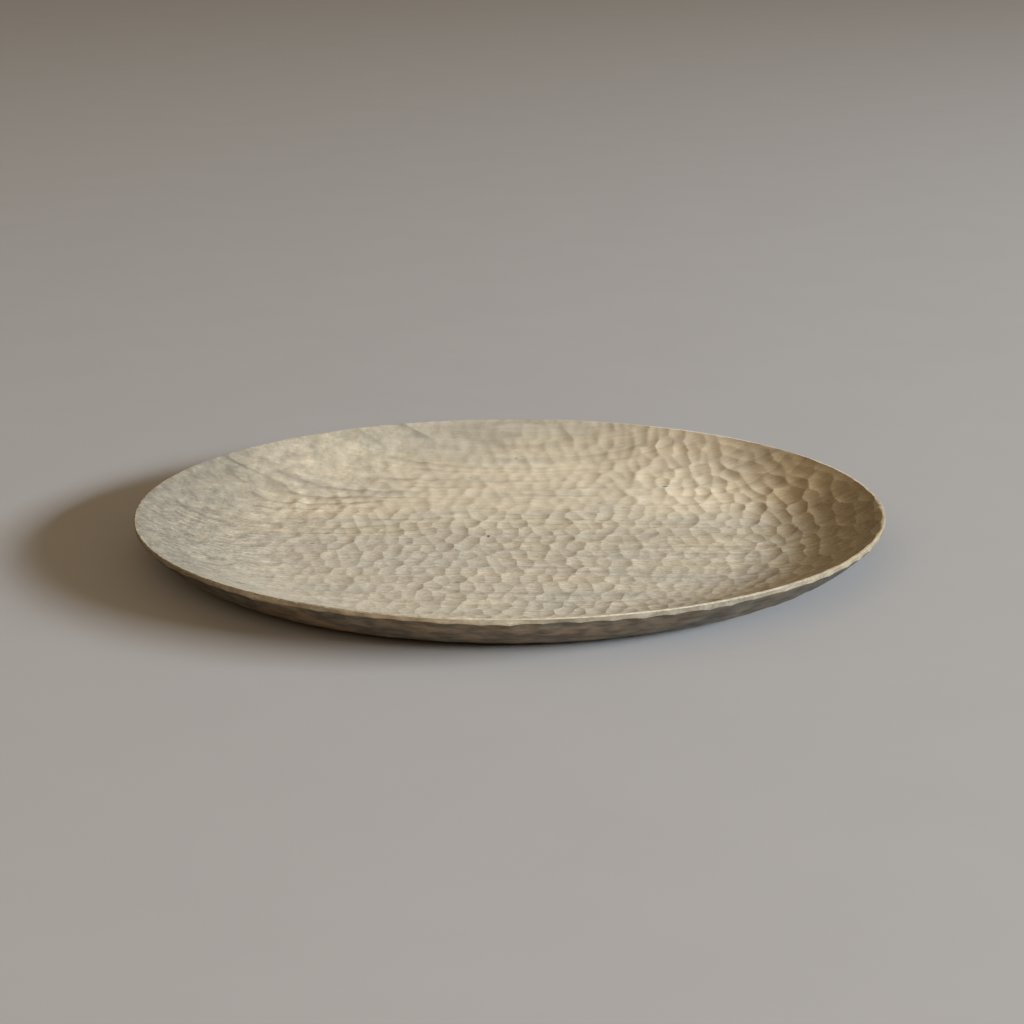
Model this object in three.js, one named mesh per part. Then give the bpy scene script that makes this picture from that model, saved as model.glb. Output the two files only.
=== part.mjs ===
// A shallow round plate, carved with a gouge from one board of wood.
// It is a single piece: a flat base, a rounded and flared outer wall, a narrow flat rim and a dished inside.
// Millimetres. The base rests on z = 0 with its centre at the origin, and +Z is the plate's axis.
import * as THREE from 'three';

// Driving dimensions.
const rimDiameter = 300;
const plateHeight = 17;
const baseDiameter = 244;
const floorThickness = 4;

// The rim: a flat land on top and a nearly upright face round the outside.
const rimLandWidth = 1.2;
const rimEdgeHeight = 1.8;
const rimEdgeDraft = 0.4;
const edgeBevel = 0.3;

// The outer wall leaves the base almost level and steepens. Its curve is pulled towards this point.
const wallPullRadius = 137;
const wallPullHeight = 1;

// The dish: a nearly flat floor, and a wall that leaves it at the foot and steepens towards the rim.
const floorRise = 0.6;
const floorPower = 2;
const wallFootRadius = 92;
const wallPower = 2.2;

// Facets of the solid.
const turnSteps = 96;
const outerWallSteps = 5;
const dishSteps = 13;
const dishStepCrowding = 1.5;

const rimRadius = rimDiameter / 2;
const baseRadius = baseDiameter / 2;
const dishRadius = rimRadius - rimLandWidth;
const dishDepth = plateHeight - floorThickness;
const wallRise = dishDepth - floorRise;

// Height of the dished face above the table, at one radius.
function dishHeight(radius) {
  const floorShare = radius / dishRadius;
  const wallShare = Math.max(0, radius - wallFootRadius) / (dishRadius - wallFootRadius);
  return floorThickness + floorRise * floorShare ** floorPower + wallRise * wallShare ** wallPower;
}

// The outside, from the middle of the base up to the flat land on top of the rim.
function outsideProfile() {
  const wallCurve = new THREE.QuadraticBezierCurve(
    new THREE.Vector2(baseRadius, 0),
    new THREE.Vector2(wallPullRadius, wallPullHeight),
    new THREE.Vector2(rimRadius - rimEdgeDraft, plateHeight - rimEdgeHeight),
  );
  return [
    new THREE.Vector2(0, 0),
    ...wallCurve.getPoints(outerWallSteps),
    new THREE.Vector2(rimRadius, plateHeight - edgeBevel),
    new THREE.Vector2(rimRadius - edgeBevel, plateHeight),
  ];
}

// The dished inside, from the rim's inner edge to the middle of the floor.
// The points crowd towards the rim, where the wall curves most.
function dishProfile() {
  const points = [];
  for (let step = 0; step <= dishSteps; step += 1) {
    const radius = dishRadius * (1 - (step / dishSteps) ** dishStepCrowding);
    points.push(new THREE.Vector2(radius, dishHeight(radius)));
  }
  return points;
}

// The whole body, turned round its axis. The lathe turns about Y, so the body is then stood on +Z.
function plateBody() {
  const profile = [...outsideProfile(), ...dishProfile()];
  const geometry = new THREE.LatheGeometry(profile, turnSteps);
  geometry.rotateX(Math.PI / 2);
  return geometry;
}

const greyedWood = new THREE.MeshStandardMaterial({
  color: 0xa89b80,
  roughness: 0.72,
  metalness: 0,
});

const carvedPlate = new THREE.Mesh(plateBody(), greyedWood);
carvedPlate.name = 'carved_plate';

const plate = new THREE.Group();
plate.add(carvedPlate);

export default plate;
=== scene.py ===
import math

import bpy
import numpy as np
from mathutils import Matrix, Vector


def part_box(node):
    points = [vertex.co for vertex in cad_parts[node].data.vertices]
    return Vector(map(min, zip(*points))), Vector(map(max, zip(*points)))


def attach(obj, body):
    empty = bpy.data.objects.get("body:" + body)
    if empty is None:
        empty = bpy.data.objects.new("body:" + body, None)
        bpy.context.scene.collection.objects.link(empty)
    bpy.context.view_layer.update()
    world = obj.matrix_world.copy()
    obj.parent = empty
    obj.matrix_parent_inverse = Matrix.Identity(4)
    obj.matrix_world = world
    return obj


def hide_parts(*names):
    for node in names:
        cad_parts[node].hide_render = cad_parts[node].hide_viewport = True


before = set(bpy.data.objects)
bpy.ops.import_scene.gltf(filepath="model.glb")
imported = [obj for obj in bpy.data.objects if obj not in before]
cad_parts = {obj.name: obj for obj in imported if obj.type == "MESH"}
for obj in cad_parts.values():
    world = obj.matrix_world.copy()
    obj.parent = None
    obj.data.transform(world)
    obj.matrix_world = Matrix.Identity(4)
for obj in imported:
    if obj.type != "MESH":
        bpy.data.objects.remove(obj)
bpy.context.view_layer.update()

MM = 0.001
rng = np.random.default_rng(23)

# ---------------------------------------------------------------------------------------------
# The plate's section, as the CAD solid has it
# ---------------------------------------------------------------------------------------------
low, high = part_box("carved_plate")
RIM_RADIUS = high.x
HEIGHT = high.z
BASE_RADIUS = 122 * MM
FLOOR_THICKNESS = 4 * MM
RIM_LAND = 1.2 * MM
RIM_EDGE_HEIGHT = 1.8 * MM
RIM_EDGE_DRAFT = 0.4 * MM
EDGE_BEVEL = 0.3 * MM
WALL_PULL_RADIUS = 137 * MM
WALL_PULL_HEIGHT = 1 * MM
FLOOR_RISE = 0.6 * MM
FLOOR_POWER = 2
WALL_FOOT_RADIUS = 92 * MM
WALL_POWER = 2.2
DISH_RADIUS = RIM_RADIUS - RIM_LAND
WALL_RISE = HEIGHT - FLOOR_THICKNESS - FLOOR_RISE
WALL_RUN = DISH_RADIUS - WALL_FOOT_RADIUS


def dish_height(radius):
    """Height of the smooth dish above the table at one radius."""
    floor = FLOOR_RISE * (radius / DISH_RADIUS) ** FLOOR_POWER
    wall = WALL_RISE * (np.maximum(0, radius - WALL_FOOT_RADIUS) / WALL_RUN) ** WALL_POWER
    return FLOOR_THICKNESS + floor + wall


def outer_wall(share):
    """Radius and height of the smooth outer wall, from the base (0) to the rim's edge face (1)."""
    stay = 1 - share
    radius = (stay ** 2 * BASE_RADIUS + 2 * stay * share * WALL_PULL_RADIUS
              + share ** 2 * (RIM_RADIUS - RIM_EDGE_DRAFT))
    height = 2 * stay * share * WALL_PULL_HEIGHT + share ** 2 * (HEIGHT - RIM_EDGE_HEIGHT)
    return radius, height


def ramp(value, start, end):
    """0 at start, 1 at end, smooth between."""
    share = np.clip((value - start) / (end - start), 0, 1)
    return share * share * (3 - 2 * share)


# ---------------------------------------------------------------------------------------------
# Gouge cuts: the carved face is the lowest of many shallow scoops, which meet in ridges
# ---------------------------------------------------------------------------------------------
BIN_SIZE = 7 * MM
BIN_REACH = 27 * MM


class Cuts:
    """Shallow elliptic scoops on a plane, each with a centre, a direction, two bends and a sink."""

    def __init__(self, rows):
        table = np.array(rows)
        self.centres = table[:, :2]
        angle, width, length, depth = table[:, 2], table[:, 3], table[:, 4], table[:, 5]
        self.across = np.stack([np.cos(angle), np.sin(angle)], 1)
        self.along = np.stack([-np.sin(angle), np.cos(angle)], 1)
        self.bend_across = 4 * depth / width ** 2
        self.bend_along = 4 * depth / length ** 2
        self.sinks = table[:, 6]

    def heights(self, points, which):
        """Height of each of the chosen scoops over each point."""
        away = points[:, None, :] - self.centres[which][None, :, :]
        u = (away * self.across[which]).sum(2)
        v = (away * self.along[which]).sum(2)
        return self.bend_across[which] * u ** 2 + self.bend_along[which] * v ** 2 - self.sinks[which]

    def slope(self, points, which):
        """Gradient of one scoop per point."""
        away = points - self.centres[which]
        u = (away * self.across[which]).sum(1)
        v = (away * self.along[which]).sum(1)
        rise_u = (2 * self.bend_across[which] * u)[:, None] * self.across[which]
        rise_v = (2 * self.bend_along[which] * v)[:, None] * self.along[which]
        return rise_u + rise_v

    def lowest(self, points):
        """The lowest scoop's number and height at each point, and the same of the next lowest."""
        bins = np.floor(points / BIN_SIZE).astype(int)
        keys = bins[:, 0] * 100003 + bins[:, 1]
        order = np.argsort(keys, kind="stable")
        starts = np.flatnonzero(np.diff(keys[order], prepend=keys[order[0]] - 1))
        numbers = np.zeros((len(points), 2), int)
        values = np.zeros((len(points), 2))
        for start, end in zip(starts, [*starts[1:], len(points)]):
            some = order[start:end]
            middle = (bins[some[0]] + 0.5) * BIN_SIZE
            away = ((self.centres - middle) ** 2).sum(1)
            near = np.flatnonzero(away < BIN_REACH ** 2)
            heights = self.heights(points[some], near)
            pair = np.argpartition(heights, 1, axis=1)[:, :2]
            picked = np.take_along_axis(heights, pair, 1)
            rank = np.argsort(picked, axis=1)
            numbers[some] = near[np.take_along_axis(pair, rank, 1)]
            values[some] = np.take_along_axis(picked, rank, 1)
        return numbers[:, 0], values[:, 0], numbers[:, 1], values[:, 1]


def snap_to_ridges(cuts, points, reach):
    """Moves each point that is near a ridge onto it, so that the mesh's edges follow the ridges."""
    first, low_value, second, next_value = cuts.lowest(points)
    gap = next_value - low_value
    gradient = cuts.slope(points, second) - cuts.slope(points, first)
    steep = (gradient ** 2).sum(1)
    near = gap < reach * np.sqrt(steep)
    moved = points.copy()
    moved[near] -= gradient[near] * (gap[near] / steep[near])[:, None]
    return moved


# Cuts stand in columns, which run across the grain and bend with the rim towards the two ends.
# On the floor each row is shifted against the next. On the end walls the columns are staggered, and the
# cuts are longer.
FLOOR_PITCH = 6.3 * MM
WALL_PITCH = 7.2 * MM
WALL_COLUMN = 103 * MM
WALL_CUT_LENGTH = 16.5 * MM
FLOOR_CUT_LENGTH = 11 * MM
BACK_CUT_EXTRA = 1.5 * MM
LONGER_CUTS = (-20 * MM, 50 * MM)
CUT_DEPTH = 0.21 * MM
CUT_MARGIN = 10 * MM
# How unevenly the hand works. Sizes and places are shares of the pitch, or of a cut's length or depth. The lean
# is in radians.
COLUMN_SPREAD = (0.92, 1.08)
WIDTH_SPREAD = (0.88, 1.12)
LENGTH_SPREAD = (0.9, 1.25)
DEPTH_SPREAD = (0.85, 1.15)
ALONG_SPREAD = 0.18
ACROSS_SPREAD = 0.14
LEAN_SPREAD = 0.15
SINK_SPREAD = 0.035 * MM
# A column's bend is kept this far from lying flat where it passes beyond the rim.
LEAST_BEND = 0.02


def row_pitch(column, y):
    """Spacing of the cuts along a column."""
    if abs(column) > WALL_COLUMN:
        return WALL_CUT_LENGTH
    return FLOOR_CUT_LENGTH + BACK_CUT_EXTRA * ramp(y, *LONGER_CUTS)


def cut_row(x, y, lean, pitch, length):
    """One cut's row for the table of cuts, with the hand's unevenness."""
    angle = lean + rng.normal(0, LEAN_SPREAD)
    width = pitch * rng.uniform(*WIDTH_SPREAD)
    cut_length = length * rng.uniform(*LENGTH_SPREAD)
    depth = CUT_DEPTH * rng.uniform(*DEPTH_SPREAD)
    return x, y, angle, width, cut_length, depth, rng.normal(0, SINK_SPREAD)


def column_cuts(column, on_wall, staggered):
    """The cuts of one column."""
    rows = []
    reach = RIM_RADIUS + CUT_MARGIN
    pitch = WALL_PITCH if on_wall else FLOOR_PITCH
    sweep = RIM_RADIUS * RIM_RADIUS / max(abs(column), 1 * MM)
    y = -reach
    if on_wall and staggered:
        y += row_pitch(column, y) / 2
    row = 0
    while y < reach:
        length = row_pitch(column, y)
        shift = 0 if on_wall else (row % 2 - 0.5) * pitch / 2
        place = y + rng.normal(0, ALONG_SPREAD) * length
        bend = math.sqrt(max(LEAST_BEND, 1 - (place / sweep) ** 2))
        x = column * bend + shift + rng.normal(0, ACROSS_SPREAD) * pitch
        y += length
        row += 1
        if math.hypot(x, place) <= reach:
            lean = math.atan(column * place / sweep ** 2 / bend)
            rows.append(cut_row(x, place, lean, pitch, length))
    return rows


def dish_cuts():
    """The cuts of the dished face."""
    rows = []
    reach = RIM_RADIUS + CUT_MARGIN
    column = -reach
    number = 0
    while column < reach:
        on_wall = abs(column) > WALL_COLUMN
        column += (WALL_PITCH if on_wall else FLOOR_PITCH) * rng.uniform(*COLUMN_SPREAD)
        number += 1
        rows += column_cuts(column, on_wall, number % 2 == 1)
    return Cuts(rows)


# Where the depth of the cuts changes over the dish (start and end of each change, along the axis named), and
# by how much of the depth.
RIGHT_FLOOR_X = (40 * MM, 70 * MM)
RIGHT_WALL_X = (95 * MM, 120 * MM)
LEFT_WALL_X = (-95 * MM, -125 * MM)
BACK_LEFT_X = (-35 * MM, -70 * MM)
BACK_MIDDLE_X = (-85 * MM, -45 * MM)
BACK_MIDDLE_RIGHT_X = (80 * MM, 0)
BACK_Y = (10 * MM, 50 * MM)
BACK_MIDDLE_Y = (5 * MM, 45 * MM)
FRONT_Y = (20 * MM, -30 * MM)
RIGHT_FLOOR_CHANGE = -0.15
RIGHT_WALL_CHANGE = 0.35
LEFT_WALL_CHANGE = 0.3
BACK_RIGHT_CHANGE = 0.25
BACK_LEFT_CHANGE = 0.7
BACK_MIDDLE_CHANGE = -0.2
FRONT_CHANGE = -0.12


def carving_strength(x, y):
    """The cuts are deeper on the walls at the two ends and at the back, and fainter at the back's middle."""
    behind = ramp(y, *BACK_Y)
    right_floor = ramp(x, *RIGHT_FLOOR_X)
    middle = ramp(x, *BACK_MIDDLE_X) * ramp(x, *BACK_MIDDLE_RIGHT_X)
    right = 1 + RIGHT_FLOOR_CHANGE * right_floor + RIGHT_WALL_CHANGE * ramp(x, *RIGHT_WALL_X)
    left = 1 + LEFT_WALL_CHANGE * ramp(x, *LEFT_WALL_X) * (1 - behind)
    back_right = 1 + BACK_RIGHT_CHANGE * behind * right_floor
    back_left = 1 + BACK_LEFT_CHANGE * behind * ramp(x, *BACK_LEFT_X)
    back = 1 + BACK_MIDDLE_CHANGE * ramp(y, *BACK_MIDDLE_Y) * middle
    front = 1 + FRONT_CHANGE * ramp(y, *FRONT_Y)
    return right * left * back_right * back_left * back * front


# Ridges are crisp (0) or rounded over (1). A ridge counts as crisp for shading up to CRISP_LIMIT.
SOFT_RIDGE = 0.45 * MM
SOFT_LEFT = (65 * MM, 100 * MM)
SOFT_LEFT_SLANT = 0.3
SOFT_BACK_Y = (15 * MM, 60 * MM)
SOFT_BACK_X = (85 * MM, 0)
SOFT_BACK = 0.27
SOFTER_BACK = 0.21
CRISP_LIMIT = 0.3


def softness(x, y):
    """How far the ridges are rounded over: least at the front, more at the back, most at -X."""
    left = ramp(SOFT_LEFT_SLANT * y - x, *SOFT_LEFT)
    back = ramp(y, *SOFT_BACK_Y) * (SOFT_BACK + SOFTER_BACK * ramp(x, *SOFT_BACK_X))
    return np.maximum(left, back)


# Three slow waves in the dished face: how far each goes in one radian, its phase, and its height.
LUMPS_X = (23 * MM, 1.3)
LUMPS_Y = (31 * MM, -0.4)
LUMPS_HEIGHT = 0.09 * MM
SLANT_WAVE = (37 * MM, 0.7)
SLANT_HEIGHT = 0.07 * MM
BACK_WAVE = (14 * MM, 0.5)
BACK_WAVE_HEIGHT = 0.11 * MM
BACK_WAVE_Y = (40 * MM, 90 * MM)


def wave_angle(place, wave):
    """How far along its wave a place is, in radians."""
    reach, phase = wave
    return place / reach + phase


def undulation(x, y):
    """Slow unevenness of handwork, with a wave along the back wall."""
    lumps = np.sin(wave_angle(x, LUMPS_X)) * np.cos(wave_angle(y, LUMPS_Y))
    slant = np.sin(wave_angle(x + y, SLANT_WAVE))
    back = np.cos(wave_angle(x, BACK_WAVE)) * ramp(y, *BACK_WAVE_Y)
    return LUMPS_HEIGHT * lumps + SLANT_HEIGHT * slant + BACK_WAVE_HEIGHT * back


MEAN_RISE = 0.4 * CUT_DEPTH
LEAST_BLEND = 0.001 * MM


def carved_height(cuts, points):
    """At each point: the carved dish's height, the cut's number, and how far above it the next cut is."""
    x, y = points[:, 0], points[:, 1]
    first, value, second, next_value = cuts.lowest(points)
    gap = next_value - value
    blend = SOFT_RIDGE * softness(x, y) + LEAST_BLEND
    rounded = value - np.maximum(0, blend - gap) ** 2 / (4 * blend)
    relief = (rounded - MEAN_RISE) * carving_strength(x, y)
    height = dish_height(np.hypot(x, y)) + relief + undulation(x, y)
    return height, first, gap


# ---------------------------------------------------------------------------------------------
# The body: rings of points from the middle of the dish, over the rim, to the middle of the base
# ---------------------------------------------------------------------------------------------
DISH_STEP = 1.0 * MM
SNAP_REACH = 0.42 * DISH_STEP
RIM_BLEND = 12 * MM
INNER_EDGE_PASSES = 6
INNER_EDGE_STEP = 0.5 * MM
WIDEST_LAND = 0.8 * MM
NARROWEST_LAND = 0.25 * MM


def ring_angles(count):
    return np.arange(count) * 2 * math.pi / count


def turns(angle):
    """Unit vectors at angles about the plate's axis."""
    return np.stack([np.cos(angle), np.sin(angle)], 1)


def flat_ring(radius, step):
    """x and y of the points of a ring, a step apart."""
    count = max(6, round(2 * math.pi * radius / step))
    return radius * turns(ring_angles(count))


def stitch(a, n, b, m):
    """Triangles between a ring of n points from number a and one of m points from number b."""
    faces = []
    i = j = 0
    while (i < n and n > 1) or (j < m and m > 1):
        if m == 1 or (n > 1 and i < n and (j >= m or (i + 0.5) * m < (j + 0.5) * n)):
            faces.append((a + i % n, b + j % m, a + (i + 1) % n))
            i += 1
        else:
            faces.append((a + i % n, b + j % m, b + (j + 1) % m))
            j += 1
    return faces


def inner_edge(cuts, angle):
    """Radius at which the carved wall meets the rim's flat land, at each angle."""
    radius = np.full(len(angle), DISH_RADIUS)
    wall_slope = WALL_RISE * WALL_POWER / WALL_RUN
    for _ in range(INNER_EDGE_PASSES):
        height, _, _ = carved_height(cuts, radius[:, None] * turns(angle))
        radius += np.clip((HEIGHT - height) / wall_slope, -INNER_EDGE_STEP, INNER_EDGE_STEP)
    return np.clip(radius, DISH_RADIUS - WIDEST_LAND, RIM_RADIUS - EDGE_BEVEL - NARROWEST_LAND)


def dish_layout(cuts):
    """x and y of the dished face's points, pulled to the inner edge near the rim, and the rings' sizes."""
    ring_count = round(DISH_RADIUS / DISH_STEP)
    flat = [np.zeros((1, 2))]
    for k in range(1, ring_count + 1):
        flat.append(flat_ring(DISH_RADIUS * k / ring_count, DISH_STEP))
    sizes = [len(ring) for ring in flat]
    points = np.concatenate(flat)
    outline = ring_angles(sizes[-1])
    edge = inner_edge(cuts, outline)
    angle = np.arctan2(points[:, 1], points[:, 0]) % (2 * math.pi)
    pull = np.interp(angle, outline, edge, period=2 * math.pi) / DISH_RADIUS - 1
    near_rim = ramp(np.hypot(*points.T), DISH_RADIUS - RIM_BLEND, DISH_RADIUS)
    return points * (1 + pull * near_rim)[:, None], sizes


def dish_rings(cuts):
    """The dished face's rings, and at each point the cut's number and how far above it the next cut is."""
    points, sizes = dish_layout(cuts)
    inside = np.arange(len(points)) < len(points) - sizes[-1]
    points[inside] = snap_to_ridges(cuts, points[inside], SNAP_REACH)
    height, number, gap = carved_height(cuts, points)
    height = np.where(inside, np.minimum(height, HEIGHT), HEIGHT)
    solid = np.column_stack([points, height])
    return np.split(solid, np.cumsum(sizes)[:-1]), number, gap


# Broad flats in rows round the outer wall, on its unrolled strip.
STRIP_HEIGHT = 46 * MM
STRIP_LENGTH = 2 * math.pi * RIM_RADIUS
FLAT_ROWS = 4
FLAT_ROW_HEIGHT = STRIP_HEIGHT / FLAT_ROWS
FLAT_START = 12 * MM
FLAT_WIDTH = (10 * MM, 16 * MM)
FLAT_LENGTH = (1.1 * FLAT_ROW_HEIGHT, 1.5 * FLAT_ROW_HEIGHT)
FLAT_DEPTH = (0.176 * MM, 0.264 * MM)
FLAT_LEAN_SPREAD = 0.2
FLAT_SINK_SPREAD = 0.04 * MM
FLAT_PLACE_SPREAD = 1.6 * MM
LAST_FLAT_ROOM = 6 * MM


def wall_flats():
    """The flats, each also one turn before and after, so that the strip's two ends match."""
    rows = []
    for row in range(FLAT_ROWS):
        middle = (row + 0.5) * FLAT_ROW_HEIGHT
        place = rng.uniform(0, FLAT_START)
        while place < STRIP_LENGTH - LAST_FLAT_ROOM:
            width = rng.uniform(*FLAT_WIDTH)
            depth = rng.uniform(*FLAT_DEPTH)
            length = rng.uniform(*FLAT_LENGTH)
            shape = (rng.normal(0, FLAT_LEAN_SPREAD), width, length, depth, rng.normal(0, FLAT_SINK_SPREAD))
            up = middle + rng.normal(0, FLAT_PLACE_SPREAD)
            for turn in (-STRIP_LENGTH, 0, STRIP_LENGTH):
                rows.append((place + width / 2 + turn, up, *shape))
            place += width
    return Cuts(rows)


# The rim's edge is uneven: height, number and phase of each wave round it, and its torn grain at -X.
RIM_WAVES = ((0.05 * MM, 9, 1), (0.04 * MM, 23, 0), (0.03 * MM, 57, 2))
TORN_DEPTH = 0.16 * MM
TORN_SIDE = (-0.2, 0.5)
DEEPEST_WAVER = 0.3 * MM
EDGE_ROWS = 3
EDGE_FLAT_SHARE = 2
EDGE_FLAT_MEAN = 0.08 * MM


def rim_waver(angle):
    """How far the rim's outer corner is worn down at each angle, as negative lengths."""
    waver = sum(size * np.sin(angle * waves + phase) for size, waves, phase in RIM_WAVES)
    torn = TORN_DEPTH * np.abs(rng.normal(0, 1, len(angle))) * ramp(-np.cos(angle), *TORN_SIDE)
    return np.clip(waver - torn, -DEEPEST_WAVER, 0)


def rim_rings(flats, count):
    """The flat land, its bevel and the upright edge face, whose foot waves with the wall's flats."""
    angle = ring_angles(count)
    turn = turns(angle)
    waver = rim_waver(angle)
    rings = [np.column_stack([turn * (RIM_RADIUS - EDGE_BEVEL + waver)[:, None], np.full(count, HEIGHT)])]
    top = HEIGHT - EDGE_BEVEL + waver
    rings.append(np.column_stack([turn * RIM_RADIUS, top]))
    strip = np.stack([angle * RIM_RADIUS, np.full(count, STRIP_HEIGHT)], 1)
    foot = HEIGHT - RIM_EDGE_HEIGHT - EDGE_FLAT_SHARE * (flats.lowest(strip)[1] - EDGE_FLAT_MEAN)
    for row in range(1, EDGE_ROWS + 1):
        share = row / EDGE_ROWS
        z = top * (1 - share) + foot * share
        rings.append(np.column_stack([turn * (RIM_RADIUS - RIM_EDGE_DRAFT * share), z]))
    return rings, foot


WALL_ROWS = 20
WALL_STEP = 1.7 * MM
FOOT_ROWS = 3
FLAT_MEAN = 0.16 * MM
FLAT_HIGHEST = 0.05 * MM
FLATS_FADE = (0, 0.12)
SMALL_SHARE = 0.001


def wall_rings(flats, foot):
    """The outer wall, with its broad flats pressed in along its own normal."""
    rings = []
    for k in range(1, WALL_ROWS + 1):
        share = 1 - k / WALL_ROWS
        r, z = outer_wall(share)
        r_on, z_on = outer_wall(share + SMALL_SHARE)
        run = math.hypot(r_on - r, z_on - z)
        angle = ring_angles(round(2 * math.pi * r / WALL_STEP))
        strip = np.stack([angle * RIM_RADIUS, np.full(len(angle), share * STRIP_HEIGHT)], 1)
        relief = np.minimum(flats.lowest(strip)[1] - FLAT_MEAN, FLAT_HIGHEST) * ramp(share, *FLATS_FADE)
        ring_r = r + relief * (z_on - z) / run
        ring_z = z - relief * (r_on - r) / run
        ring_foot = np.interp(angle, ring_angles(len(foot)), foot, period=2 * math.pi)
        ring_z += (ring_foot - (HEIGHT - RIM_EDGE_HEIGHT)) * max(0, 1 - k / FOOT_ROWS)
        rings.append(np.column_stack([turns(angle) * ring_r[:, None], np.maximum(ring_z, 0)]))
    return rings


BASE_STEP = 3.5 * MM


def base_rings():
    """The flat base, from near its edge to its middle."""
    rings = []
    count = round(BASE_RADIUS / BASE_STEP)
    for k in range(count - 1, 0, -1):
        ring = flat_ring(BASE_RADIUS * k / count, BASE_STEP)
        rings.append(np.column_stack([ring, np.zeros(len(ring))]))
    rings.append(np.zeros((1, 3)))
    return rings


RIDGE_WIDTH = 0.05 * MM
PLAIN_TONE = 0.5


def add_attributes(mesh, cuts, points, number, gap):
    """For the material: a tone for each cut, and how near each point is to a crisp ridge."""
    tone = rng.uniform(0, 1, len(cuts.centres))
    cut_tone = np.full(len(points), PLAIN_TONE)
    cut_tone[:len(number)] = tone[number]
    ridge = np.zeros(len(points))
    place = points[:len(gap), :2].T
    ridge[:len(gap)] = np.exp(-gap / RIDGE_WIDTH) * carving_strength(*place) * (1 - softness(*place))
    for name, values in (("cut_tone", cut_tone), ("ridge", ridge)):
        attribute = mesh.attributes.new(name, "FLOAT", "POINT")
        attribute.data.foreach_set("value", values.astype(np.float32))


CORNER_ANGLE = 24


def mark_ridges(mesh, cuts, points, faces, dish_points):
    """Sharp edges where the faces on the two sides belong to different crisp cuts, and at corners."""
    mesh.set_sharp_from_angle(angle=math.radians(CORNER_ANGLE))
    faces = np.array(faces)
    on_dish = (faces < dish_points).all(1)
    cell = np.full(len(faces), -1)
    middles = points[faces[on_dish]].mean(1)[:, :2]
    cell[on_dish] = np.where(softness(*middles.T) < CRISP_LIMIT, cuts.lowest(middles)[0], -1)
    loop_edges = np.zeros(len(mesh.loops), int)
    mesh.loops.foreach_get("edge_index", loop_edges)
    lowest_cell = np.full(len(mesh.edges), len(cuts.centres))
    highest_cell = np.full(len(mesh.edges), -1)
    np.minimum.at(lowest_cell, loop_edges, np.repeat(cell, 3))
    np.maximum.at(highest_cell, loop_edges, np.repeat(cell, 3))
    sharp = np.zeros(len(mesh.edges), bool)
    mesh.attributes["sharp_edge"].data.foreach_get("value", sharp)
    sharp |= (lowest_cell >= 0) & (lowest_cell != highest_cell)
    mesh.attributes["sharp_edge"].data.foreach_set("value", sharp)


def plate_object():
    """The carved plate as one closed mesh, with attributes for its material."""
    cuts = dish_cuts()
    flats = wall_flats()
    rings, number, gap = dish_rings(cuts)
    rim, foot = rim_rings(flats, len(rings[-1]))
    rings = rings + rim + wall_rings(flats, foot) + base_rings()
    starts = np.cumsum([0] + [len(ring) for ring in rings])
    faces = []
    for k in range(len(rings) - 1):
        faces += stitch(starts[k], len(rings[k]), starts[k + 1], len(rings[k + 1]))
    points = np.concatenate(rings)
    mesh = bpy.data.meshes.new("plate_wood")
    mesh.from_pydata(points.tolist(), [], faces)
    add_attributes(mesh, cuts, points, number, gap)
    mesh.shade_smooth()
    mark_ridges(mesh, cuts, points, faces, len(number))
    plate = bpy.data.objects.new("plate_wood", mesh)
    bpy.context.scene.collection.objects.link(plate)
    return plate


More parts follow.
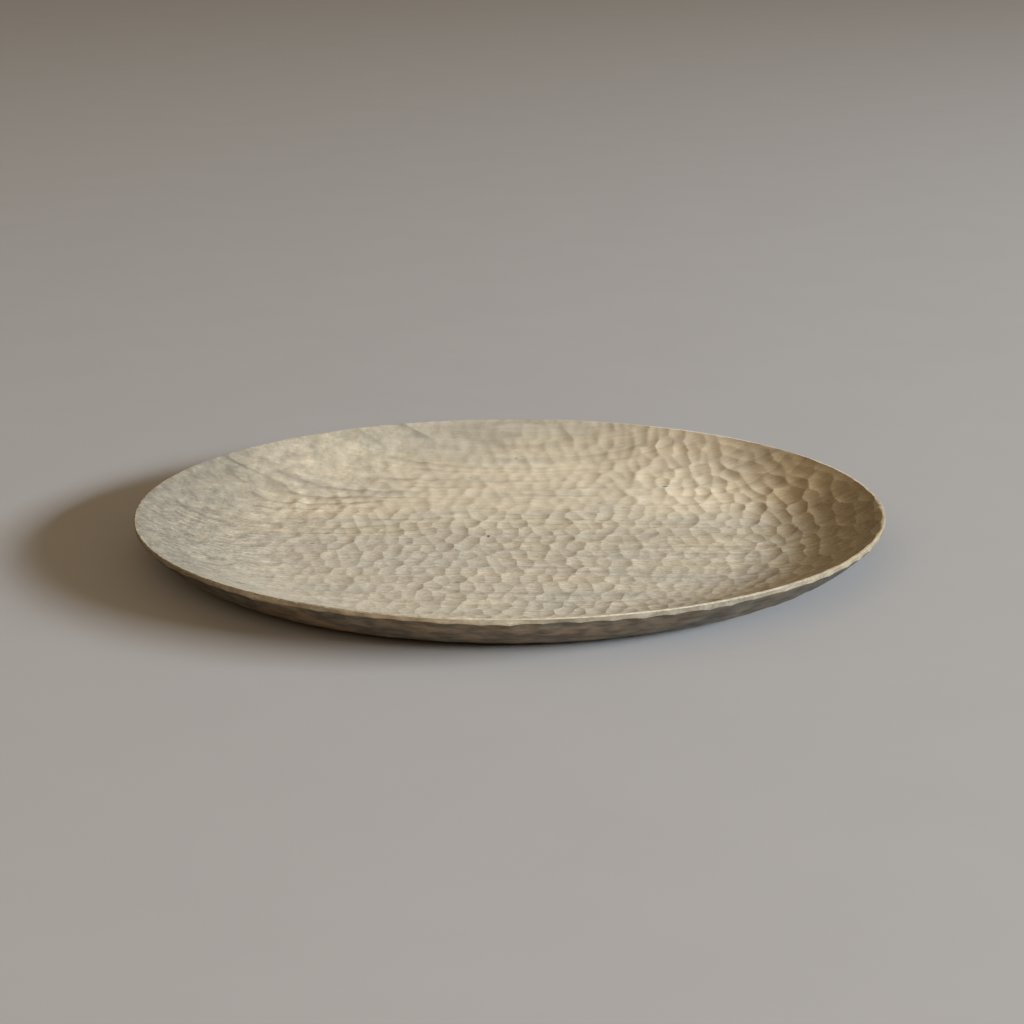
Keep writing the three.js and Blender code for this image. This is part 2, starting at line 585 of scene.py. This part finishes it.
# ---------------------------------------------------------------------------------------------
# Material: a solid texture of the wood, laid through the plate, so that its layers bend on the walls
# ---------------------------------------------------------------------------------------------
class Nodes:
    """Short names for making a material's nodes."""

    def __init__(self, name):
        self.material = bpy.data.materials.new(name)
        self.material.use_nodes = True
        self.tree = self.material.node_tree
        self.shader = self.tree.nodes["Principled BSDF"]

    def link(self, source, target):
        if isinstance(source, (int, float)):
            target.default_value = source
        elif isinstance(source, tuple):
            target.default_value = source if len(source) == len(target.default_value) else (*source, 1)
        else:
            self.tree.links.new(source, target)

    def math(self, operation, a, b=0.0, c=0.0, clamp=False):
        node = self.tree.nodes.new("ShaderNodeMath")
        node.operation = operation
        node.use_clamp = clamp
        for value, socket in zip((a, b, c), node.inputs):
            self.link(value, socket)
        return node.outputs[0]

    def product(self, first, *others):
        for other in others:
            first = self.math("MULTIPLY", first, other)
        return first

    def hypot(self, a, b):
        return self.math("SQRT", self.math("ADD", self.product(a, a), self.product(b, b)))

    def split(self, vector):
        node = self.tree.nodes.new("ShaderNodeSeparateXYZ")
        self.link(vector, node.inputs[0])
        return node.outputs

    def noise(self, place, size, detail, roughness):
        """Noise from 0 to 1 about 0.5. Size is three lengths in millimetres."""
        stretch = self.tree.nodes.new("ShaderNodeVectorMath")
        stretch.operation = "DIVIDE"
        self.link(place, stretch.inputs[0])
        self.link(size, stretch.inputs[1])
        node = self.tree.nodes.new("ShaderNodeTexNoise")
        node.inputs["Scale"].default_value = 1
        node.inputs["Detail"].default_value = detail
        node.inputs["Roughness"].default_value = roughness
        self.link(stretch.outputs["Vector"], node.inputs["Vector"])
        return node.outputs["Fac"]

    def ramp(self, value, start, end):
        """0 at start, 1 at end, smooth between."""
        node = self.tree.nodes.new("ShaderNodeMapRange")
        node.interpolation_type = "SMOOTHSTEP"
        self.link(value, node.inputs["Value"])
        node.inputs["From Min"].default_value = start
        node.inputs["From Max"].default_value = end
        return node.outputs["Result"]

    def scale_range(self, value, low_value, high_value):
        """low_value at 0, high_value at 1."""
        return self.math("MULTIPLY_ADD", value, high_value - low_value, low_value)

    def between(self, value, start, end, low_value, high_value):
        """low_value up to start, high_value from end on, smooth between."""
        return self.scale_range(self.ramp(value, start, end), low_value, high_value)

    def swing(self, noise, amount):
        """A factor about 1 that follows a noise, by an amount either way."""
        return self.math("MULTIPLY_ADD", self.scale_range(noise, -1, 1), amount, 1.0)

    def mix(self, share, a, b, blend="MIX"):
        node = self.tree.nodes.new("ShaderNodeMix")
        node.data_type = "RGBA"
        node.blend_type = blend
        self.link(share, node.inputs["Factor"])
        self.link(a, node.inputs[6])
        self.link(b, node.inputs[7])
        return node.outputs[2]

    def scaled(self, color, factor):
        """A colour or a place times a number."""
        node = self.tree.nodes.new("ShaderNodeVectorMath")
        node.operation = "SCALE"
        self.link(color, node.inputs[0])
        self.link(factor, node.inputs["Scale"])
        return node.outputs["Vector"]

    def tinted(self, color, tint):
        return self.mix(1.0, color, tint, "MULTIPLY")

    def attribute(self, name):
        node = self.tree.nodes.new("ShaderNodeAttribute")
        node.attribute_name = name
        return node.outputs["Fac"]


# Lengths in the material are in millimetres.
# Textures of the wood: size of the features along X, Y and Z, detail and roughness.
LAYER_WANDER = ((160, 45, 60), 2, 0.5)
LAYER_FADE = ((70, 22, 30), 2, 0.6)
FINE_FIBRE = ((9, 1.2, 1.2), 3, 0.65)
COARSE_FIBRE = ((40, 3.5, 3.5), 2, 0.55)
SPECK = ((1.6, 1.0, 1.0), 2, 0.6)
FLECK = ((5.0, 0.9, 0.9), 1, 0.5)
PORES = ((3.0, 0.8, 0.8), 2, 0.7)
MOTTLE = ((5, 8, 8), 2, 0.6)
ZONE = ((60, 16, 25), 3, 0.6)
BLOTCH = ((8, 8, 2.6), 3, 0.6)
STREAK = ((70, 5, 5), 3, 0.6)

# Growth layers: their slant, their spacing, how far they wander, and where in a layer its dark wood lies.
LAYER_TILT = 1.9
LAYER_PITCH = 9.0
WANDER_REACH = 55
LATE_WOOD = (0.45, 0.93)
NEXT_LAYER = (0.95, 1.0)
FADE_NOISE = (0.42, 0.62)
FLECK_NOISE = (0.66, 0.76)
END_GRAIN_FACING = (0.03, 0.55)


class Grain:
    """At a shaded point: its place, the way its surface faces, and the wood's textures."""

    def __init__(self, n):
        coordinates = n.tree.nodes.new("ShaderNodeTexCoord")
        place = n.scaled(coordinates.outputs["Object"], 1 / MM)
        geometry = n.tree.nodes.new("ShaderNodeNewGeometry")
        facing = n.split(geometry.outputs["True Normal"])
        self.x, self.y, self.z = n.split(place)
        self.facing_end = n.math("ABSOLUTE", facing[0])
        self.facing_up = facing[2]
        self.end = n.ramp(self.facing_end, *END_GRAIN_FACING)
        self.fine = n.noise(place, *FINE_FIBRE)
        self.coarse = n.noise(place, *COARSE_FIBRE)
        self.speck = n.noise(place, *SPECK)
        self.fleck = n.ramp(n.noise(place, *FLECK), *FLECK_NOISE)
        self.pores = n.noise(place, *PORES)
        self.mottle = n.noise(place, *MOTTLE)
        self.zone = n.noise(place, *ZONE)
        self.blotch = n.noise(place, *BLOTCH)
        self.streak = n.noise(place, *STREAK)
        self.line = self.growth_line(n, place)

    def growth_line(self, n, place):
        """The dark wood that ends each growth layer. The layers lie at a slant, wander and fade."""
        wander = n.math("MULTIPLY", n.noise(place, *LAYER_WANDER), WANDER_REACH)
        layer = n.math("ADD", n.math("MULTIPLY_ADD", self.z, -LAYER_TILT, self.y), wander)
        cycle = n.math("FRACT", n.math("DIVIDE", layer, LAYER_PITCH))
        ended = n.math("SUBTRACT", 1.0, n.ramp(cycle, *NEXT_LAYER))
        fade = n.ramp(n.noise(place, *LAYER_FADE), *FADE_NOISE)
        return n.product(n.ramp(cycle, *LATE_WOOD), ended, fade)


# Colours of the dish, and where along X or Y they change: start and end, and for a factor its two values.
WARM_WOOD = (0.455, 0.39, 0.275)
COOL_WOOD = (0.415, 0.375, 0.29)
END_WOOD = (0.235, 0.205, 0.15)
# Painted shade: a darker, browner tint for the wall at +X.
RIGHT_SHADE_TINT = (0.9, 0.86, 0.78)
ZONE_WARMTH = (0.3, 0.7)
LEAST_WARMTH = -0.22
WARM_BACK_Y = (-30, 70)
WARM_BACK = 0.55
COOL_LEFT_X = (-105, -135)
COOL_LEFT = -0.25
RIGHT_SHADE_X = (98, 122)
PORE_TONE = (0.75, 1.25)


def ground_color(n, g):
    """Warm and cool zones, darker end grain wherever the surface cuts the fibres, and painted shade on the wall
    at +X, darker and browner.
    """
    back = n.product(n.ramp(g.y, *WARM_BACK_Y), WARM_BACK)
    left = n.product(n.ramp(g.x, *COOL_LEFT_X), COOL_LEFT)
    sides = n.math("ADD", n.math("ADD", back, LEAST_WARMTH), left)
    warmth = n.math("ADD", n.ramp(g.zone, *ZONE_WARMTH), sides, clamp=True)
    color = n.mix(warmth, COOL_WOOD, WARM_WOOD)
    end_color = n.scaled(END_WOOD, n.scale_range(g.pores, *PORE_TONE))
    color = n.mix(g.end, color, end_color)
    # Painted shade on the wall at +X.
    return n.mix(n.ramp(g.x, *RIGHT_SHADE_X), color, n.tinted(color, RIGHT_SHADE_TINT))


CUT_TONE = (0.955, 1.045)
COARSE_TONE = (0.86, 1.14)
FINE_SWING = 0.3
SPECK_SWING = 0.34
MOTTLE_SWING = (0.5, -0.36)
CALM_BACK_Y = (-30, 80, 1.4, 0.4)
ROUGH_LEFT = (-60, -110, 1.0, 1.7)
ROUGH_LEFT_SLANT = -0.35
FLECK_STRENGTH = 0.45
FLECK_TONE = 0.6
LINE_TONE = 0.6
LINE_LEFT_X = (-10, -60)
LINE_BACK_Y = (-10, 40)
LINE_STRENGTH = (0.42, 0.8)


def texture_factors(n, g):
    """How the cuts, fibres, flecks and growth lines lighten and darken the dish."""
    calm = n.between(g.y, *CALM_BACK_Y)
    rough = n.between(n.math("MULTIPLY_ADD", g.y, ROUGH_LEFT_SLANT, g.x), *ROUGH_LEFT)
    strength = n.product(calm, rough)
    back_left = n.product(n.ramp(g.x, *LINE_LEFT_X), n.ramp(g.y, *LINE_BACK_Y))
    line_strength = n.scale_range(back_left, *LINE_STRENGTH)
    return (
        n.scale_range(n.attribute("cut_tone"), *CUT_TONE),
        n.swing(g.fine, n.product(strength, FINE_SWING)),
        n.swing(g.speck, n.product(strength, SPECK_SWING)),
        n.scale_range(g.coarse, *COARSE_TONE),
        n.swing(g.mottle, n.math("MULTIPLY_ADD", rough, *MOTTLE_SWING)),
        n.scale_range(n.product(g.line, line_strength), 1.0, LINE_TONE),
        n.scale_range(n.product(g.fleck, FLECK_STRENGTH), 1.0, FLECK_TONE),
    )


# Painted light and shade, partly the wood's own tone: the dish lighter towards the back and at the back's
# right, darker at -X and at the back's left.
BACK_TONE_AND_PAINTED_LIGHT_Y = (-10, 60)
RIM_SIDE_Y = (95, 135)
RIM_SIDE_LOSS = -1.1
LESS_RIGHT_X = (20, 75, 1.0, 0.55)
BACK_TONE_AND_PAINTED_LIGHT = (1.0, 1.16)
BACK_RIGHT_Y = (20, 65)
BACK_RIGHT_X = (40, 85)
BACK_RIGHT_TONE_AND_PAINTED_LIGHT = (1.0, 1.3)
LEFT_TONE_AND_PAINTED_SHADE = (-88, -125, 1.0, 0.77)
BACK_LEFT_TONE_AND_PAINTED_SHADE = (75, 125, 1.0, 0.79)
BACK_LEFT_DIRECTION = (-0.6, 0.8)


def tone_and_painted_light_factors(n, g):
    """Slow changes over the dish, partly the wood's own tone and partly painted light and shade: lighter
    towards the back and more so at its right, darker at -X and at the back's left.
    """
    rim_side = n.product(n.ramp(g.y, *RIM_SIDE_Y), RIM_SIDE_LOSS)
    back = n.product(n.math("ADD", n.ramp(g.y, *BACK_TONE_AND_PAINTED_LIGHT_Y), rim_side), n.between(g.x, *LESS_RIGHT_X))
    back_right = n.product(n.ramp(g.y, *BACK_RIGHT_Y), n.ramp(g.x, *BACK_RIGHT_X))
    along_x, along_y = BACK_LEFT_DIRECTION
    toward_back_left = n.math("ADD", n.product(g.x, along_x), n.product(g.y, along_y))
    return (
        n.scale_range(back, *BACK_TONE_AND_PAINTED_LIGHT),
        n.scale_range(back_right, *BACK_RIGHT_TONE_AND_PAINTED_LIGHT),
        n.between(g.x, *LEFT_TONE_AND_PAINTED_SHADE),
        n.between(toward_back_left, *BACK_LEFT_TONE_AND_PAINTED_SHADE),
    )


# The outer wall and the base, darker than the dish as painted shade, since they face down, and the wall darker
# still towards +X.
SHADED_OUTER_WOOD = (0.25, 0.18, 0.113)
SHADED_OUTER_WOOD_COOL = (0.175, 0.155, 0.115)
SHADED_OUTER_WOOD_MEAN = (0.215, 0.17, 0.115)
SHADED_DOWN_FACING = (-0.1, -0.35)
OUTER_ZONE = (0.35, 0.65)
BLOTCH_TONE = (0.32, 0.68, 0.62, 1.3)
STREAK_TONE = (0.25, 0.75, 0.78, 1.2)
BASE_Z = (1.0, 0.1)
BASE_EVENNESS = 0.6
BASE_LINE = 0.8
OUTER_FIBRE = (0.85, 1.15)
OUTER_END_TONE = (0.15, 0.6, 1.0, 0.5)
OUTER_RIGHT_SHADE = (0, 60, 1.0, 0.65)


def shaded_outer_color(n, g):
    """Painted shade: the outer wall and the base darker than the dish, and the wall darker still towards +X.
    Blotches on the wall, plain streaks along the grain on the base.
    """
    on_base = n.ramp(g.z, *BASE_Z)
    color = n.mix(n.ramp(g.zone, *OUTER_ZONE), SHADED_OUTER_WOOD, SHADED_OUTER_WOOD_COOL)
    color = n.mix(n.product(on_base, BASE_EVENNESS), color, SHADED_OUTER_WOOD_MEAN)
    blotched = n.scaled(color, n.between(g.blotch, *BLOTCH_TONE))
    streaked = n.scaled(color, n.between(g.streak, *STREAK_TONE))
    color = n.mix(on_base, blotched, streaked)
    lines = n.scale_range(n.product(g.line, on_base, BASE_LINE), 1.0, LINE_TONE)
    fibres = n.scale_range(g.fine, *OUTER_FIBRE)
    ends = n.between(g.facing_end, *OUTER_END_TONE)
    right = n.between(g.x, *OUTER_RIGHT_SHADE)
    return n.scaled(color, n.product(lines, fibres, ends, right))


# The rim's edge, lighter partly from wear and partly as painted light and shade that changes along X: a first
# factor, and what is added to it along X (start, end and amount).
RIM_FROM_AXIS = (148.2, 149.2)
RIM_Z = (14.6, 15.4)
WORN_AND_LIT_TINT = (1, 0.98, 0.935)
WORN_AND_LIT_EDGE_X = (30, -10, 1.06, 1.36)
WORN_AND_LIT_CHANGES_X = ((-5, -75, 0.6), (-95, -125, -0.6), (78, 96, 0.6), (100, 115, -0.25))
RUBBED_LAND = 1.08
LAND_FACING = (0.3, 0.7)


def with_rim(n, g, color):
    """The colour with the rim lighter, partly worn by hands and partly painted light, except on its end grain
    at -X.
    """
    rim = n.product(n.ramp(n.hypot(g.x, g.y), *RIM_FROM_AXIS), n.ramp(g.z, *RIM_Z))
    # Partly wear, partly painted light and shade: the edge's lightening, set side by side along X.
    edge = n.between(g.x, *WORN_AND_LIT_EDGE_X)
    for start, end, amount in WORN_AND_LIT_CHANGES_X:
        edge = n.math("ADD", edge, n.product(n.ramp(g.x, start, end), amount))
    on_land = n.ramp(g.facing_up, *LAND_FACING)
    off_land = n.math("SUBTRACT", 1.0, on_land)
    worn_and_lit = n.math("ADD", n.product(edge, off_land), n.product(on_land, RUBBED_LAND))
    return n.mix(rim, color, n.tinted(n.scaled(color, worn_and_lit), WORN_AND_LIT_TINT))


# Small knots and dark marks in the dish: x, y, half the size along X and along Y, and strength.
SPOTS = (
    (-8.6, -1.0, 0.9, 2.2, 0.95), (67, 75, 1.7, 1.3, 0.85), (-101, -81, 3.4, 1.6, 0.55),
    (-20, -63.5, 1.3, 1.7, 0.6), (-79, -10, 1.6, 1.3, 0.5), (-74, 5, 1.5, 1.2, 0.45), (38, 50, 1.7, 1.2, 0.4),
    (48, 43, 1.6, 1.1, 0.4), (59, 12, 1.6, 1.1, 0.4), (90, 12, 1.8, 1.3, 0.45), (3, 118, 1.2, 1.2, 0.45),
    (-17, 92, 1.2, 1.2, 0.4),
)
SPOT_COLOR = (0.06, 0.045, 0.03)
SPOT_FADE = (1.0, 0.3)
SPOT_Z = (2.0, 3.0)


def with_spots(n, g, color):
    """The colour with its small knots and marks."""
    in_dish = n.ramp(g.z, *SPOT_Z)
    for x, y, half_x, half_y, strength in SPOTS:
        across = n.math("DIVIDE", n.math("SUBTRACT", g.x, x), half_x)
        along = n.math("DIVIDE", n.math("SUBTRACT", g.y, y), half_y)
        spot = n.ramp(n.hypot(across, along), *SPOT_FADE)
        color = n.mix(n.product(spot, in_dish, strength), color, SPOT_COLOR)
    return color


RIDGE_STRENGTH = 0.05
RIDGE_TONE = 1.22


def with_ridges(n, color):
    """The colour, worn a little lighter on the ridges between the cuts."""
    ridge = n.math("MINIMUM", n.attribute("ridge"), 1.0)
    return n.scaled(color, n.scale_range(n.product(ridge, RIDGE_STRENGTH), 1.0, RIDGE_TONE))


ROUGHNESS = (0.62, 0.74)
ZONE_ROUGHNESS = (-0.05, 0.05)
SPECULAR = 0.3
BUMP_STRENGTH = 0.35
BUMP_HEIGHT = 0.12 * MM
FINE_BUMP = 0.6
COARSE_BUMP = 0.4
FLECK_BUMP = -0.5


def set_surface(n, g):
    """Roughness, and fine relief of the fibres and pores."""
    rough = n.math("ADD", n.scale_range(g.fine, *ROUGHNESS), n.scale_range(g.zone, *ZONE_ROUGHNESS))
    n.link(rough, n.shader.inputs["Roughness"])
    n.shader.inputs["Specular IOR Level"].default_value = SPECULAR
    fibres = n.math("ADD", n.product(g.fine, FINE_BUMP), n.product(g.coarse, COARSE_BUMP))
    pits = n.math("ADD", n.product(g.fleck, FLECK_BUMP), n.product(g.pores, g.end))
    bump = n.tree.nodes.new("ShaderNodeBump")
    bump.inputs["Strength"].default_value = BUMP_STRENGTH
    bump.inputs["Distance"].default_value = BUMP_HEIGHT
    n.link(n.math("ADD", fibres, pits), bump.inputs["Height"])
    n.link(bump.outputs["Normal"], n.shader.inputs["Normal"])


def wood_material():
    n = Nodes("greyed_wood")
    g = Grain(n)
    factors = texture_factors(n, g) + tone_and_painted_light_factors(n, g)
    dish = n.scaled(ground_color(n, g), n.product(*factors))
    # Painted shade: faces turned down take the darker outer colour.
    color = n.mix(n.ramp(g.facing_up, *SHADED_DOWN_FACING), dish, shaded_outer_color(n, g))
    color = with_rim(n, g, color)
    color = with_spots(n, g, color)
    color = with_ridges(n, color)
    n.link(color, n.shader.inputs["Base Color"])
    set_surface(n, g)
    return n.material


FLOOR_COLOR = (0.33, 0.318, 0.30)
FLOOR_TEXTURE = ((60, 60, 60), 3, 0.6)
FLOOR_TONE = (0.97, 1.03)
FLOOR_ROUGHNESS = 0.85
FLOOR_SPECULAR = 0.2


def floor_material():
    n = Nodes("pale_floor")
    coordinates = n.tree.nodes.new("ShaderNodeTexCoord")
    texture = n.noise(n.scaled(coordinates.outputs["Object"], 1 / MM), *FLOOR_TEXTURE)
    n.link(n.scaled(FLOOR_COLOR, n.scale_range(texture, *FLOOR_TONE)), n.shader.inputs["Base Color"])
    n.shader.inputs["Roughness"].default_value = FLOOR_ROUGHNESS
    n.shader.inputs["Specular IOR Level"].default_value = FLOOR_SPECULAR
    return n.material


# ---------------------------------------------------------------------------------------------
# Stage, light and camera
# ---------------------------------------------------------------------------------------------
CAMERA_PLACE = (0.000956, -1.010129, 0.293412)
CAMERA_PITCH = 15.4545
CAMERA_ROLL = -0.1633
CAMERA_LENS = 91.406
SENSOR = 36
CLIP_START = 0.05
FLOOR_HALF = 8
ROOM_COLOR = (1, 0.75, 0.48, 1)
ROOM_STRENGTH = 0.32
# Light panels: name, azimuth and elevation in degrees, distance, size, power in watts and colour.
PANELS = (
    ("window", -15, 17.6, 4, (3.0, 0.55), 480, (0.79, 0.88, 1)),
    ("room_front", -108, 36, 3, (2.5, 1.5), 21, (1, 0.8, 0.6)),
)


def make_camera():
    data = bpy.data.cameras.new("camera")
    data.lens = CAMERA_LENS
    data.sensor_width = SENSOR
    data.clip_start = CLIP_START
    camera = bpy.data.objects.new("camera", data)
    tilt = Matrix.Rotation(math.radians(90 - CAMERA_PITCH), 4, "X")
    roll = Matrix.Rotation(math.radians(CAMERA_ROLL), 4, "Z")
    camera.matrix_world = Matrix.Translation(CAMERA_PLACE) @ tilt @ roll
    bpy.context.scene.collection.objects.link(camera)
    bpy.context.scene.camera = camera


def area_light(name, azimuth, elevation, distance, size, power, color):
    """A soft panel that faces the plate."""
    data = bpy.data.lights.new(name, "AREA")
    data.shape = "RECTANGLE"
    data.size, data.size_y = size
    data.energy = power
    data.color = color
    light = bpy.data.objects.new(name, data)
    a, e = math.radians(azimuth), math.radians(elevation)
    direction = Vector((math.cos(a) * math.cos(e), math.sin(a) * math.cos(e), math.sin(e)))
    light.location = direction * distance
    light.rotation_euler = (-direction).to_track_quat("-Z", "Y").to_euler()
    bpy.context.scene.collection.objects.link(light)


def make_floor():
    mesh = bpy.data.meshes.new("floor")
    corners = [(x * FLOOR_HALF, y * FLOOR_HALF, 0) for x, y in ((-1, -1), (1, -1), (1, 1), (-1, 1))]
    mesh.from_pydata(corners, [], [(0, 1, 2, 3)])
    mesh.materials.append(floor_material())
    floor = bpy.data.objects.new("floor", mesh)
    bpy.context.scene.collection.objects.link(floor)


def make_stage():
    make_floor()
    world = bpy.data.worlds.new("room")
    world.use_nodes = True
    background = world.node_tree.nodes["Background"]
    background.inputs["Color"].default_value = ROOM_COLOR
    background.inputs["Strength"].default_value = ROOM_STRENGTH
    bpy.context.scene.world = world
    for panel in PANELS:
        area_light(*panel)
    bpy.context.scene.view_settings.view_transform = "Standard"


make_camera()
make_stage()
plate = plate_object()
plate.data.materials.append(wood_material())
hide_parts("carved_plate")
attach(plate, "root")
